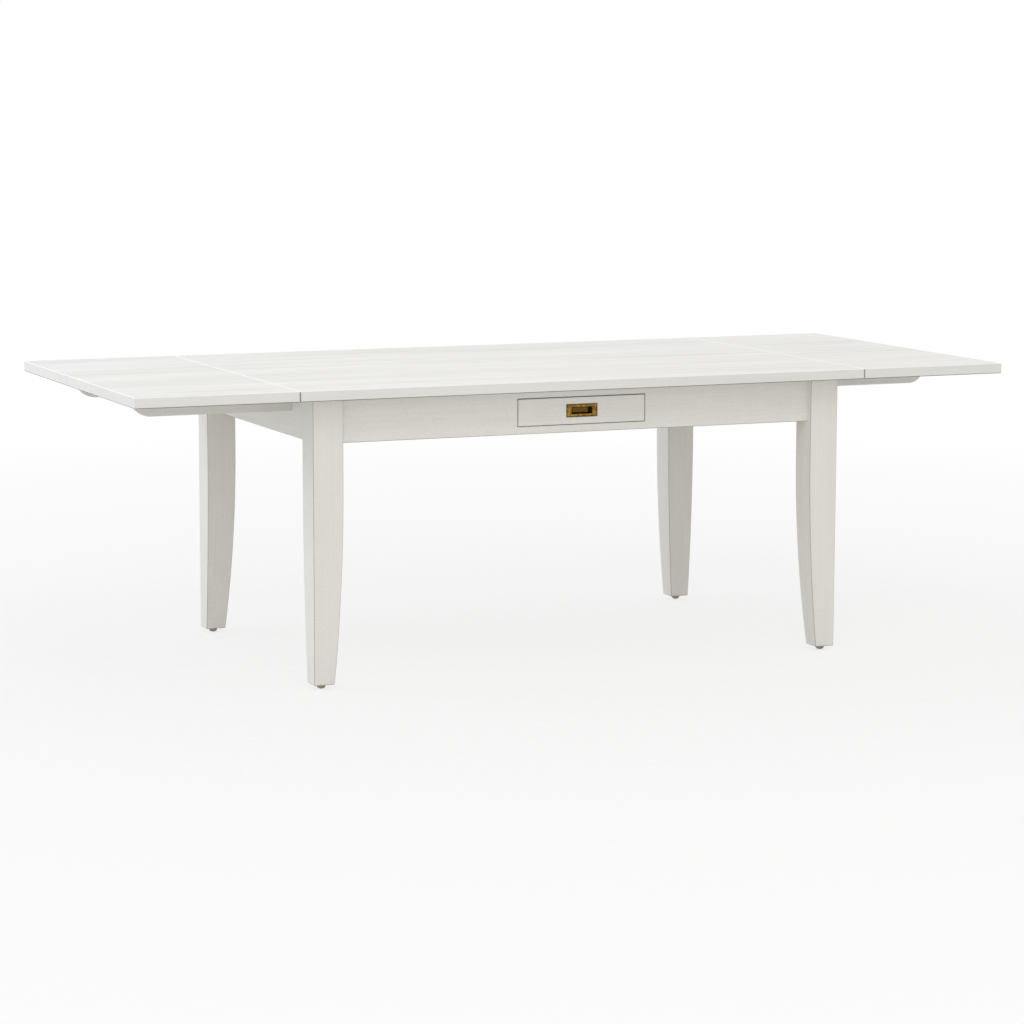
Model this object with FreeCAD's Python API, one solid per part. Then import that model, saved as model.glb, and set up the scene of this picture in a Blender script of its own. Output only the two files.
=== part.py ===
# Extending dining table: a fixed centre top on four tapered legs, two loose end
# leaves carried on pull-out lopers, and one flush drawer in the front apron.
# Millimetres. X runs along the table, the drawer faces -Y, and Z is up.
# The origin is on the floor under the middle of the top.

import FreeCAD
import Part

import math
import os

Vector = FreeCAD.Vector

# Top and leaves
table_height = 762.0
top_thickness = 27.0
top_width = 1041.0
centre_length = 1581.0
leaf_length = 421.0
leaf_seam = 1.2
top_arris = 2.0

# Dowels that line a leaf up with the centre top
leaf_dowel_radius = 5.0
leaf_dowel_in_leaf = 22.0
leaf_dowel_proud = 14.0
leaf_dowel_chamfer = 1.5
leaf_dowel_edge_distance = 190.5
leaf_socket_clearance = 0.1
leaf_socket_end_room = 2.0

# Legs
leg_size = 80.0
leg_end_overhang = 50.5
leg_side_overhang = 53.0
leg_taper = 26.0
leg_straight_length = 215.0
leg_arris = 1.2
leg_foot_chamfer = 1.5
leg_corner_flat = 14.0

# Nail-on glides
glide_radius = 11.0
glide_height = 12.0
glide_flat_radius = 5.0
glide_bevel_radius = 9.0
glide_bevel_z = 2.0
glide_rim_height = 6.0
glide_nail_radius = 2.0
glide_nail_length = 18.0

# Aprons
apron_height = 114.0
apron_thickness = 22.0
apron_setback = 16.0
apron_arris = 1.2

# Corner blocks, hanger bolts and block screws
block_thickness = 26.0
block_height = 95.0
block_top_room = 7.0
bolt_radius = 4.0
bolt_spacing = 51.0
bolt_in_leg = 45.0
bolt_tail = 14.0
bolt_hole_clearance = 0.5
washer_radius = 10.0
washer_thickness = 2.0
nut_across_flats = 13.0
nut_thickness = 6.5
block_screw_head_radius = 4.5
block_screw_head_thickness = 3.0
block_screw_radius = 2.25
block_screw_grip = 12.0
block_screw_in_apron = 14.0

# Cross bearers between the long aprons
bearer_thickness = 22.0
bearer_drop = 95.0
bearer_drawer_room = 9.2
bearer_housing = 6.0

# Lopers
loper_thickness = 22.0
loper_height = 48.7
loper_apron_distance = 167.5
loper_pitch = 30.0
loper_reach = 353.5
loper_tail = 34.5
loper_nose_flat = 0.7
loper_arris = 1.2
loper_side_clearance = 0.5
slide_clearance = 0.3

# Stop pegs through the lopers
peg_radius = 5.0
peg_proud = 14.0
peg_stop_clearance = 0.5
peg_drop = 22.0

# Buttons that hold the top down
button_width = 40.0
button_depth = 28.0
button_height = 22.0
button_tongue_length = 9.0
button_tongue_height = 8.5
button_slot_drop = 12.0
button_slot_room = 1.0
button_slot_clearance = 0.5
button_side_share = 0.5
button_loper_distance = 90.0
button_chamfer = 3.0
button_screw_radius = 2.0
button_screw_head_radius = 4.0
button_screw_head_height = 2.5
button_screw_in_top = 13.0

# Drawer
drawer_front_width = 358.0
drawer_front_height = 69.5
drawer_front_thickness = 20.0
drawer_front_drop = 23.5
drawer_front_arris = 0.8
drawer_gap = 1.8
drawer_front_lap = 9.0
drawer_box_length = 310.0
drawer_box_rise = 4.0
drawer_loper_room = 2.0
drawer_side_thickness = 12.0
drawer_bottom_thickness = 6.0
drawer_bottom_rise = 4.0
drawer_groove_depth = 6.0
drawer_screw_radius = 2.0
drawer_screw_head_radius = 4.0
drawer_screw_head_height = 2.2
drawer_screw_in_front = 14.0
drawer_screw_end_distance = 30.0

# Drawer runners, kickers and stops
runner_side_clearance = 0.5
runner_lip_width = 12.0
runner_bottom_drop = 6.0
runner_tail = 22.5
runner_screw_radius = 2.25
runner_screw_head_radius = 4.5
runner_screw_head_height = 3.0
runner_screw_length = 32.0
runner_screw_end_distance = 60.0
kicker_height = 19.7
kicker_length = 139.5
stop_length = 15.0
stop_height = 30.0

# Flush drawer pull
pull_width = 88.5
pull_height = 34.7
pull_plate_thickness = 3.0
pull_proud = 1.0
pull_bevel_width = 3.2
pull_bevel_drop = 0.8
pull_step_width = 2.0
pull_step_depth = 0.7
pull_lip_width = 2.4
pull_lip_rise = 0.5
cup_width = 60.0
cup_height = 18.5
cup_depth = 12.0
cup_end_slope = 8.0
cup_side_slope = 3.0
cup_wall = 1.3
cup_corner_radius = 2.0
cup_room = 0.7
pull_post_radius = 3.5
pull_post_length = 8.0
pull_post_spacing = 72.0
pull_screw_radius = 2.0
pull_screw_head_radius = 3.6
pull_screw_head_height = 2.4
pull_screw_in_post = 6.0

# How far a cutting tool runs past the face that it opens
overrun = 5.0

# Places that follow from the sizes
underside_z = table_height - top_thickness
half_centre = centre_length / 2
half_width = top_width / 2
leaf_inner_x = half_centre + leaf_seam
leaf_outer_x = leaf_inner_x + leaf_length
dowel_z = underside_z + top_thickness / 2

leg_outer_x = half_centre - leg_end_overhang
leg_outer_y = half_width - leg_side_overhang
leg_inner_x = leg_outer_x - leg_size
leg_inner_y = leg_outer_y - leg_size
leg_taper_start_z = underside_z - leg_straight_length

apron_bottom_z = underside_z - apron_height
side_apron_outer_y = leg_outer_y - apron_setback
side_apron_inner_y = side_apron_outer_y - apron_thickness
end_apron_outer_x = leg_outer_x - apron_setback
end_apron_inner_x = end_apron_outer_x - apron_thickness

drawer_front_top_z = underside_z - drawer_front_drop
drawer_front_bottom_z = drawer_front_top_z - drawer_front_height
drawer_face_y = -side_apron_outer_y
drawer_front_back_y = drawer_face_y + drawer_front_thickness
opening_half_width = drawer_front_width / 2 + drawer_gap
opening_top_z = drawer_front_top_z + drawer_gap
opening_bottom_z = drawer_front_bottom_z - drawer_gap

bearer_inner_x = opening_half_width + bearer_drawer_room
bearer_outer_x = bearer_inner_x + bearer_thickness
bearer_bottom_z = underside_z - bearer_drop

loper_top_z = underside_z - slide_clearance
loper_bottom_z = loper_top_z - loper_height
loper_tip_x = half_centre + loper_reach
peg_x = bearer_inner_x - peg_radius - peg_stop_clearance
peg_z = loper_top_z - peg_drop
loper_inner_x = peg_x - loper_tail
loper_travel = peg_x + peg_x
left_loper_y = side_apron_inner_y - loper_apron_distance - loper_thickness / 2
right_loper_y = left_loper_y - loper_pitch
button_end_y = right_loper_y - loper_thickness / 2 - button_loper_distance

drawer_box_bottom_z = drawer_front_bottom_z + drawer_box_rise
drawer_box_top_z = loper_bottom_z - drawer_loper_room
drawer_box_half = drawer_front_width / 2 - drawer_front_lap
drawer_box_inner_half = drawer_box_half - drawer_side_thickness
drawer_back_y = drawer_front_back_y + drawer_box_length
drawer_bottom_z = drawer_box_bottom_z + drawer_bottom_rise
drawer_bottom_top_z = drawer_bottom_z + drawer_bottom_thickness
inner_front_back_y = drawer_front_back_y + drawer_side_thickness

runner_inner_x = drawer_box_half + runner_side_clearance
runner_lip_x = runner_inner_x - runner_lip_width
runner_lip_top_z = drawer_box_bottom_z - slide_clearance
runner_bottom_z = drawer_box_bottom_z - runner_bottom_drop
runner_back_y = drawer_back_y + runner_tail

pull_z = (drawer_front_top_z + drawer_front_bottom_z) / 2
pull_face_y = drawer_face_y - pull_proud
pull_back_y = pull_face_y + pull_plate_thickness

corner_sum = leg_inner_x + leg_inner_y + leg_corner_flat
corner_difference = leg_inner_x - leg_inner_y
diagonal = Vector(1, 1, 0).normalize()

SIDES = (("left", -1), ("right", 1))
FACES = (("front", -1), ("back", 1))
fastener_flat_count = 8
SAME = 1e-6


# Helpers

def block(x0, x1, y0, y1, z0, z1):
    """A box between two corners, whichever way round they are given."""
    low = Vector(min(x0, x1), min(y0, y1), min(z0, z1))
    return Part.makeBox(abs(x1 - x0), abs(y1 - y0), abs(z1 - z0), low)


def prism(points, travel):
    """A polygon pushed along a straight travel."""
    outline = Part.makePolygon(points + points[:1])
    return Part.Face(outline).extrude(travel)


def rod(radius, start, direction, length):
    return Part.makeCylinder(radius, length, start, direction)


def bar(corner_radius, sides, start, direction, length):
    """A bar whose section is a regular polygon, running level or straight up."""
    across = Vector(0, 0, 1) if abs(direction.z) < SAME else Vector(1, 0, 0)
    sideways = direction.cross(across)
    points = []
    for turn in range(sides):
        angle = math.tau * turn / sides
        points.append(start + across * (corner_radius * math.cos(angle))
                      + sideways * (corner_radius * math.sin(angle)))
    return prism(points, direction * length)


def shank(radius, start, direction, length):
    """A small fastener's shank, or the hole that fits it, drawn with flats."""
    return bar(radius, fastener_flat_count, start, direction, length)


def eased(shape, size, wanted):
    """Take a small flat off the edges that a test picks out."""
    edges = [edge for edge in shape.Edges if wanted(edge)]
    return shape.makeChamfer(size, edges)


def joined(shapes):
    """One solid from pieces that touch or overlap, with the joint lines removed."""
    whole = shapes[0]
    for shape in shapes[1:]:
        whole = whole.fuse(shape)
    return whole.removeSplitter()


def in_quarter(shape, side_sign, face_sign):
    """A shape drawn in the back right quarter, turned over into another quarter."""
    origin = Vector(0, 0, 0)
    if side_sign < 0:
        shape = shape.mirror(origin, Vector(1, 0, 0))
    if face_sign < 0:
        shape = shape.mirror(origin, Vector(0, 1, 0))
    return shape


def quarters():
    """Each corner of the table with its name and its two signs."""
    for face, face_sign in FACES:
        for side, side_sign in SIDES:
            yield face + "_" + side, side_sign, face_sign


def write(node, shapes):
    """Write one node, as one solid or as a group of separate solids."""
    shape = shapes if isinstance(shapes, Part.Shape) else Part.makeCompound(shapes)
    assert shape.isValid(), node
    shape.exportStep(os.path.join("parts", node + ".step"))


# Top and leaves

def panel(x0, x1):
    """A flat board the full width of the table, its upper and lower edges rounded."""
    board = block(x0, x1, -half_width, half_width, underside_z, table_height)
    rims = [edge for edge in board.Edges if level(edge, (underside_z, table_height))]
    return board.makeFillet(top_arris, rims)


def level(edge, heights):
    """Whether an edge lies flat at one of the heights."""
    box = edge.BoundBox
    return box.ZLength < SAME and any(abs(box.ZMin - height) < SAME for height in heights)


def dowel_places():
    y = half_width - leaf_dowel_edge_distance
    return [-y, y]


def button_places():
    """Every top button as a point on an apron's inner face and the way inwards."""
    side_x = bearer_outer_x + (leg_inner_x - bearer_outer_x) * button_side_share
    places = []
    for face, face_sign in FACES:
        for x in (-side_x, side_x):
            places.append((Vector(x, face_sign * side_apron_inner_y, 0), Vector(0, -face_sign, 0)))
    for side, side_sign in SIDES:
        for y in (-button_end_y, button_end_y):
            places.append((Vector(side_sign * end_apron_inner_x, y, 0), Vector(-side_sign, 0, 0)))
    return places


def button_screw_point(place, inward):
    return place + inward * (button_depth / 2)


def centre_top():
    """The fixed top, with sockets for the leaf dowels and pilot holes for the buttons."""
    top = panel(-half_centre, half_centre)
    socket_radius = leaf_dowel_radius + leaf_socket_clearance
    socket_depth = leaf_dowel_proud - leaf_seam + leaf_socket_end_room
    cuts = []
    for side, sign in SIDES:
        for y in dowel_places():
            mouth = Vector(sign * (half_centre + overrun), y, dowel_z)
            cuts.append(rod(socket_radius, mouth, Vector(-sign, 0, 0), socket_depth + overrun))
    for place, inward in button_places():
        point = button_screw_point(place, inward)
        point.z = underside_z
        cuts.append(shank(button_screw_radius, point, Vector(0, 0, 1), button_screw_in_top))
    return top.cut(cuts)


def leaf(sign):
    """A loose end leaf, bored for its dowels along the inner edge."""
    board = panel(sign * leaf_inner_x, sign * leaf_outer_x)
    cuts = []
    for y in dowel_places():
        mouth = Vector(sign * (leaf_inner_x - overrun), y, dowel_z)
        cuts.append(rod(leaf_dowel_radius, mouth, Vector(sign, 0, 0), leaf_dowel_in_leaf + overrun))
    return board.cut(cuts)


def leaf_dowels(sign):
    """Dowels fixed in the leaf, with a chamfer on the end that enters the top."""
    tip_x = sign * (leaf_inner_x - leaf_dowel_proud)
    pegs = []
    for y in dowel_places():
        peg = rod(leaf_dowel_radius, Vector(tip_x, y, dowel_z), Vector(sign, 0, 0),
                  leaf_dowel_in_leaf + leaf_dowel_proud)
        pegs.append(eased(peg, leaf_dowel_chamfer, lambda edge: upright_at(edge, tip_x)))
    return pegs


def upright_at(edge, x):
    """Whether an edge lies in the plane across X at a place."""
    box = edge.BoundBox
    return box.XLength < SAME and abs(box.XMin - x) < SAME


# Legs and glides

def taper_curve(place):
    """The single arc on which an inner face runs out to the foot, tangent to the
    straight upper part. The place function turns an inset and a height into a point."""
    drop = leg_taper_start_z - glide_height
    radius = (drop ** 2 + leg_taper ** 2) / (leg_taper + leg_taper)
    half_turn = math.asin(drop / radius) / 2
    bend_inset = radius * (1 - math.cos(half_turn))
    bend_z = leg_taper_start_z - radius * math.sin(half_turn)
    start = place(0, leg_taper_start_z)
    foot = place(leg_taper, glide_height)
    return start, foot, Part.Arc(start, place(bend_inset, bend_z), foot).toShape()


def closed_face(curve, corners):
    """A face bounded by a curve and by straight lines through the corners."""
    lines = [Part.makeLine(a, b) for a, b in zip(corners, corners[1:])]
    return Part.Face(Part.Wire([curve] + lines))


def taper_profile(place):
    """The tapered part of a leg seen from one side, its outer face straight."""
    start, foot, curve = taper_curve(place)
    corners = [foot, place(leg_size, glide_height), place(leg_size, leg_taper_start_z), start]
    return closed_face(curve, corners)


def leg():
    """One leg, drawn in the back right quarter, tapered on its two inner faces."""
    across_x = taper_profile(lambda inset, z: Vector(leg_inner_x + inset, leg_inner_y, z))
    across_y = taper_profile(lambda inset, z: Vector(leg_inner_x, leg_inner_y + inset, z))
    tapered = across_x.extrude(Vector(0, leg_size, 0)).common(across_y.extrude(Vector(leg_size, 0, 0)))
    upper = block(leg_inner_x, leg_outer_x, leg_inner_y, leg_outer_y, leg_taper_start_z, underside_z)
    post = eased(joined([upper, tapered]), leg_arris, outer_arris)
    post = post.cut([inner_arris_cut(), leg_corner_cut()])
    post = eased(post, leg_foot_chamfer, lambda edge: level(edge, (glide_height,)))
    return post.cut(bolt_rods(bolt_radius, 0, bolt_in_leg) + [nail_rod()])


def outer_arris(edge):
    """Whether an edge runs down the leg and touches one of its two outer faces."""
    box = edge.BoundBox
    outer_x = abs(box.XMin - leg_outer_x) < SAME
    outer_y = abs(box.YMin - leg_outer_y) < SAME
    return box.ZLength > SAME and (outer_x or outer_y)


def inner_arris_cut():
    """What comes off the inner arris, which lies in the leg's diagonal plane. It's the
    same flat as on the other arrises, cut by a profile in that plane."""
    depth = leg_arris / math.sqrt(2)
    corner = Vector(leg_inner_x, leg_inner_y, 0)

    def place(inset, z):
        return corner + diagonal * (inset * math.sqrt(2) + depth) + Vector(0, 0, z)

    start, foot, curve = taper_curve(place)
    outside = diagonal * (-overrun - depth)
    below = Vector(0, 0, -overrun)
    above = Vector(start.x, start.y, underside_z + overrun)
    low = place(0, glide_height) + below
    corners = [foot, foot + below, low + outside, above + outside, above, start]
    sideways = Vector(-diagonal.y, diagonal.x, 0) * overrun
    face = closed_face(curve, corners)
    face.translate(sideways * -1)
    return face.extrude(sideways + sideways)


def leg_corner_cut():
    """The flat on a leg's inner corner that the corner block beds against."""
    reach = leg_corner_flat + overrun
    corner = Vector(leg_inner_x, leg_inner_y, block_bottom_z())
    offsets = [Vector(reach, -overrun, 0), Vector(-overrun, reach, 0), Vector(-overrun, -overrun, 0)]
    return prism([corner + offset for offset in offsets], Vector(0, 0, underside_z + overrun - corner.z))


def glide_centre():
    """The middle of the tapered foot."""
    x = leg_outer_x - (leg_size - leg_taper) / 2
    y = leg_outer_y - (leg_size - leg_taper) / 2
    return Vector(x, y, 0)


def nail_rod():
    start = glide_centre() + Vector(0, 0, glide_height)
    return shank(glide_nail_radius, start, Vector(0, 0, 1), glide_nail_length)


def glide():
    """A round steel glide, bevelled towards the floor, with its nail."""
    outline = [
        Vector(0, 0, 0),
        Vector(glide_flat_radius, 0, 0),
        Vector(glide_bevel_radius, 0, glide_bevel_z),
        Vector(glide_radius, 0, glide_height - glide_rim_height),
        Vector(glide_radius, 0, glide_height),
        Vector(0, 0, glide_height),
    ]
    section = Part.Face(Part.makePolygon(outline + outline[:1]))
    foot = section.revolve(Vector(0, 0, 0), Vector(0, 0, 1))
    foot.translate(glide_centre())
    return joined([foot, nail_rod()])


# Corner blocks and their fastenings

def block_bottom_z():
    return underside_z - block_top_room - block_height


def corner_point(inward, z):
    """A point on the corner's diagonal, a distance inwards from the leg's flat."""
    x = (corner_sum + corner_difference) / 2
    y = (corner_sum - corner_difference) / 2
    return Vector(x, y, z) - diagonal * inward


def bolt_heights():
    middle = block_bottom_z() + block_height / 2
    return [middle - bolt_spacing / 2, middle + bolt_spacing / 2]


def bolt_rods(radius, inward, outward):
    """Rods along the two bolt axes, reaching in and out from the leg's flat."""
    return [shank(radius, corner_point(inward, z), diagonal, inward + outward) for z in bolt_heights()]


def block_screw_axes():
    """Head seat and direction of the block's two screws, one into each apron."""
    inner_sum = corner_sum - block_thickness * math.sqrt(2)
    head_room = block_screw_head_radius + block_screw_head_thickness
    z = block_bottom_z() + block_height / 2
    seat_x = end_apron_inner_x - block_screw_grip
    seat_y = side_apron_inner_y - block_screw_grip
    into_end = Vector(seat_x, inner_sum - seat_x + head_room, z)
    into_side = Vector(inner_sum - seat_y + head_room, seat_y, z)
    return [(into_end, Vector(1, 0, 0)), (into_side, Vector(0, 1, 0))]


def corner_block():
    """A block across the corner, its mitred ends flat against the two aprons."""
    inner_sum = corner_sum - block_thickness * math.sqrt(2)
    bottom = block_bottom_z()
    points = [
        Vector(end_apron_inner_x, corner_sum - end_apron_inner_x, bottom),
        Vector(end_apron_inner_x, inner_sum - end_apron_inner_x, bottom),
        Vector(inner_sum - side_apron_inner_y, side_apron_inner_y, bottom),
        Vector(corner_sum - side_apron_inner_y, side_apron_inner_y, bottom),
    ]
    body = prism(points, Vector(0, 0, block_height))
    cuts = bolt_rods(bolt_radius + bolt_hole_clearance, block_thickness + overrun, overrun)
    for seat, direction in block_screw_axes():
        cuts.append(shank(block_screw_head_radius, seat, direction * -1, block_thickness))
        cuts.append(shank(block_screw_radius, seat, direction, block_screw_grip + overrun))
    return body.cut(cuts)


def washers():
    seats = [corner_point(block_thickness + washer_thickness, z) for z in bolt_heights()]
    holes = bolt_rods(bolt_radius + bolt_hole_clearance, block_thickness + washer_thickness, 0)
    return [bar(washer_radius, fastener_flat_count, seat, diagonal, washer_thickness).cut(hole)
            for seat, hole in zip(seats, holes)]


def nuts():
    inward = block_thickness + washer_thickness + nut_thickness
    seats = [corner_point(inward, z) for z in bolt_heights()]
    holes = bolt_rods(bolt_radius, inward, 0)
    corner_radius = nut_across_flats / math.sqrt(3)
    return [bar(corner_radius, 6, seat, diagonal, nut_thickness).cut(hole)
            for seat, hole in zip(seats, holes)]


def headed_screw(radius, head_radius, head_height, seat, direction, length):
    """A flat-headed screw: the head lies behind the seat, the shank ahead of it."""
    head = shank(head_radius, seat - direction * head_height, direction, head_height)
    return joined([head, shank(radius, seat, direction, length)])


def block_screws():
    length = block_screw_grip + block_screw_in_apron
    return [headed_screw(block_screw_radius, block_screw_head_radius, block_screw_head_thickness,
                         seat, direction, length)
            for seat, direction in block_screw_axes()]


# Aprons, bearers and lopers

def loper_places(side):
    """The middle lines of a side's two lopers."""
    y = left_loper_y if side == "left" else right_loper_y
    return [-y, y]


def loper_notch(x0, x1, y):
    """An open-topped notch that a loper slides in."""
    reach = loper_thickness / 2 + loper_side_clearance
    floor_z = loper_bottom_z - slide_clearance
    return block(x0, x1, y - reach, y + reach, floor_z, underside_z + overrun)


def button_slot(place, inward):
    """The slot in an apron that takes a button's tongue."""
    sideways = inward.cross(Vector(0, 0, 1)) * (button_width / 2 + button_slot_room)
    depth = button_tongue_length + button_slot_room
    top_z = underside_z - button_slot_drop
    bottom_z = top_z - button_tongue_height - button_slot_clearance
    back = place - inward * depth
    points = [back - sideways, place + inward * overrun - sideways,
              place + inward * overrun + sideways, back + sideways]
    for point in points:
        point.z = bottom_z
    return prism(points, Vector(0, 0, top_z - bottom_z))


def slots_on(inward_wanted):
    return [button_slot(place, inward) for place, inward in button_places()
            if (inward - inward_wanted).Length < SAME]


def block_pilots():
    """Every corner's screw holes, to be taken out of whichever apron they reach."""
    pilots = []
    for seat, direction in block_screw_axes():
        length = block_screw_grip + block_screw_in_apron
        pilots.append(shank(block_screw_radius, seat, direction, length))
    return [in_quarter(pilot, side_sign, face_sign)
            for name, side_sign, face_sign in quarters() for pilot in pilots]


def lower_edge(edge, axis):
    """Whether an edge runs along an apron's bottom, in the direction of an axis."""
    span = edge.Vertexes[-1].Point - edge.Vertexes[0].Point
    return level(edge, (apron_bottom_z,)) and abs(span.normalize().dot(axis)) > 1 - SAME


def side_apron(face_sign):
    """A long apron, housed on the inside for the two bearers."""
    outer_y = face_sign * side_apron_outer_y
    inner_y = face_sign * side_apron_inner_y
    rail = block(-leg_inner_x, leg_inner_x, outer_y, inner_y, apron_bottom_z, underside_z)
    rail = eased(rail, apron_arris, lambda edge: lower_edge(edge, Vector(1, 0, 0)))
    cuts = slots_on(Vector(0, -face_sign, 0)) + block_pilots()
    housing_y = inner_y + face_sign * bearer_housing
    for side, sign in SIDES:
        cuts.append(block(sign * bearer_inner_x, sign * bearer_outer_x, housing_y,
                          inner_y - face_sign * overrun, bearer_bottom_z, underside_z + overrun))
    return rail.cut(cuts)


def front_apron():
    """The front apron, with the opening for the drawer."""
    opening = block(-opening_half_width, opening_half_width, -side_apron_outer_y - overrun,
                    -side_apron_inner_y + overrun, opening_bottom_z, opening_top_z)
    return side_apron(-1).cut(opening)


def end_apron(side, sign):
    """An end apron, notched from the top for its own two lopers."""
    outer_x = sign * end_apron_outer_x
    inner_x = sign * end_apron_inner_x
    rail = block(outer_x, inner_x, -leg_inner_y, leg_inner_y, apron_bottom_z, underside_z)
    rail = eased(rail, apron_arris, lambda edge: lower_edge(edge, Vector(0, 1, 0)))
    cuts = slots_on(Vector(-sign, 0, 0)) + block_pilots()
    for y in loper_places(side):
        cuts.append(loper_notch(outer_x + sign * overrun, inner_x - sign * overrun, y))
    return rail.cut(cuts)


def bearer(sign):
    """A cross bearer, let into both long aprons and notched for all four lopers."""
    inner_x = sign * bearer_inner_x
    outer_x = sign * bearer_outer_x
    reach = side_apron_inner_y + bearer_housing
    rail = block(inner_x, outer_x, -reach, reach, bearer_bottom_z, underside_z)
    cuts = []
    for side, side_sign in SIDES:
        for y in loper_places(side):
            cuts.append(loper_notch(inner_x - sign * overrun, outer_x + sign * overrun, y))
    return rail.cut(cuts + runner_screws(sign))


def loper(side, sign, y):
    """A pull-out runner with a quarter-round nose, bored for its stop peg."""
    near_y = y - loper_thickness / 2
    nose_radius = loper_height - loper_nose_flat
    nose_start_x = loper_tip_x - nose_radius
    nose_z = loper_bottom_z + nose_radius
    half = math.sqrt(2) / 2
    bend = Vector(sign * (nose_start_x + nose_radius * half), near_y, nose_z - nose_radius * half)
    tail_low = Vector(sign * loper_inner_x, near_y, loper_bottom_z)
    tail_high = Vector(sign * loper_inner_x, near_y, loper_top_z)
    tip_high = Vector(sign * loper_tip_x, near_y, loper_top_z)
    tip_low = Vector(sign * loper_tip_x, near_y, nose_z)
    nose_foot = Vector(sign * nose_start_x, near_y, loper_bottom_z)
    outline = Part.Wire([
        Part.makeLine(tail_low, tail_high),
        Part.makeLine(tail_high, tip_high),
        Part.makeLine(tip_high, tip_low),
        Part.Arc(tip_low, bend, nose_foot).toShape(),
        Part.makeLine(nose_foot, tail_low),
    ])
    runner_bar = Part.Face(outline).extrude(Vector(0, loper_thickness, 0))
    runner_bar = eased(runner_bar, loper_arris, underneath)
    return runner_bar.cut(stop_peg(side, sign, y))


def underneath(edge):
    """Whether an edge runs along a loper's underside or round its nose."""
    box = edge.BoundBox
    return box.YLength < SAME and box.XLength > loper_nose_flat and box.ZMin < loper_bottom_z + SAME


def stop_peg(side, sign, y):
    """A peg through a loper, proud on the side away from the next loper."""
    out = math.copysign(1, y) if side == "left" else -math.copysign(1, y)
    start = Vector(sign * peg_x, y - out * loper_thickness / 2, peg_z)
    return rod(peg_radius, start, Vector(0, out, 0), loper_thickness + peg_proud)


# Top buttons

def button(place, inward):
    """A wooden button: a body screwed to the top and a tongue in the apron's slot."""
    top_z = underside_z
    bottom_z = underside_z - button_height
    tongue_top_z = underside_z - button_slot_drop
    tongue_bottom_z = tongue_top_z - button_tongue_height
    sideways = inward.cross(Vector(0, 0, 1)) * (button_width / 2)
    outline = [
        (-button_tongue_length, tongue_bottom_z),
        (-button_tongue_length, tongue_top_z),
        (0, tongue_top_z),
        (0, top_z),
        (button_depth, top_z),
        (button_depth, bottom_z + button_chamfer),
        (button_depth - button_chamfer, bottom_z),
        (0, bottom_z),
        (0, tongue_bottom_z),
    ]
    points = [place + inward * along_apron + Vector(0, 0, z) - sideways for along_apron, z in outline]
    body = prism(points, sideways + sideways)
    seat = button_screw_point(place, inward) + Vector(0, 0, bottom_z)
    return body.cut(shank(button_screw_radius, seat, Vector(0, 0, 1), button_height))


def button_screw(place, inward):
    seat = button_screw_point(place, inward) + Vector(0, 0, underside_z - button_height)
    return headed_screw(button_screw_radius, button_screw_head_radius, button_screw_head_height,
                        seat, Vector(0, 0, 1), button_height + button_screw_in_top)


# Drawer runners, kickers and stops

def runner_screw_seats(sign):
    """Screws through the runner's guide into the bearer."""
    z = (runner_bottom_z + drawer_box_top_z) / 2
    front_y = -side_apron_inner_y + runner_screw_end_distance
    back_y = runner_back_y - runner_screw_end_distance
    seat_x = runner_inner_x + runner_screw_head_height
    return [Vector(sign * seat_x, y, z) for y in (front_y, back_y)]


def runner_screws(sign):
    """Screws let in flush with the runner's guide."""
    return [headed_screw(runner_screw_radius, runner_screw_head_radius, runner_screw_head_height,
                         seat, Vector(sign, 0, 0), runner_screw_length)
            for seat in runner_screw_seats(sign)]


def runner(sign):
    """An L-shaped runner: a guide beside the drawer and a lip under it."""
    guide = block(sign * runner_inner_x, sign * bearer_inner_x, -side_apron_inner_y, runner_back_y,
                  runner_bottom_z, drawer_box_top_z)
    lip = block(sign * runner_lip_x, sign * bearer_inner_x, -side_apron_inner_y, runner_back_y,
                runner_bottom_z, runner_lip_top_z)
    return joined([guide, lip]).cut(runner_screws(sign))


def kicker(sign):
    """A strip over the drawer's side that stops the drawer tipping when it is out."""
    bottom_z = drawer_box_top_z + slide_clearance
    return block(sign * runner_lip_x, sign * bearer_inner_x, -side_apron_inner_y,
                 -side_apron_inner_y + kicker_length, bottom_z, bottom_z + kicker_height)


def drawer_stop(sign):
    """A small block on the runner's lip behind the drawer."""
    front_y = drawer_back_y + slide_clearance
    return block(sign * runner_lip_x, sign * runner_inner_x, front_y, front_y + stop_length,
                 runner_lip_top_z, runner_lip_top_z + stop_height)


# Drawer

def pull_posts():
    """The middle lines of the pull's two posts."""
    return [Vector(x, pull_back_y, pull_z) for x in (-pull_post_spacing / 2, pull_post_spacing / 2)]


def drawer_screw_seats():
    """Screws from inside the box into the drawer front."""
    z = (drawer_bottom_top_z + drawer_box_top_z) / 2
    x = drawer_box_inner_half - drawer_screw_end_distance
    return [Vector(-x, inner_front_back_y, z), Vector(x, inner_front_back_y, z)]


def drawer_front():
    """The flush front, let in for the pull."""
    half = drawer_front_width / 2
    front = block(-half, half, drawer_face_y, drawer_front_back_y, drawer_front_bottom_z, drawer_front_top_z)
    front = eased(front, drawer_front_arris, lambda edge: edge.BoundBox.YMax < drawer_face_y + SAME)
    room = (cup_wall + cup_room) * 2
    pocket_back_y = pull_face_y + cup_depth + cup_wall + cup_room
    cuts = [
        face_block(pull_width, pull_height, drawer_face_y - overrun, pull_back_y),
        face_block(cup_width + room, cup_height + room, drawer_face_y, pocket_back_y),
    ]
    for post in pull_posts():
        cuts.append(shank(pull_post_radius, post, Vector(0, 1, 0), pull_post_length))
        cuts.append(shank(pull_screw_radius, post, Vector(0, 1, 0), drawer_front_thickness))
    for seat in drawer_screw_seats():
        length = drawer_side_thickness + drawer_screw_in_front
        cuts.append(shank(drawer_screw_radius, seat, Vector(0, -1, 0), length))
    return front.cut(cuts)


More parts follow.
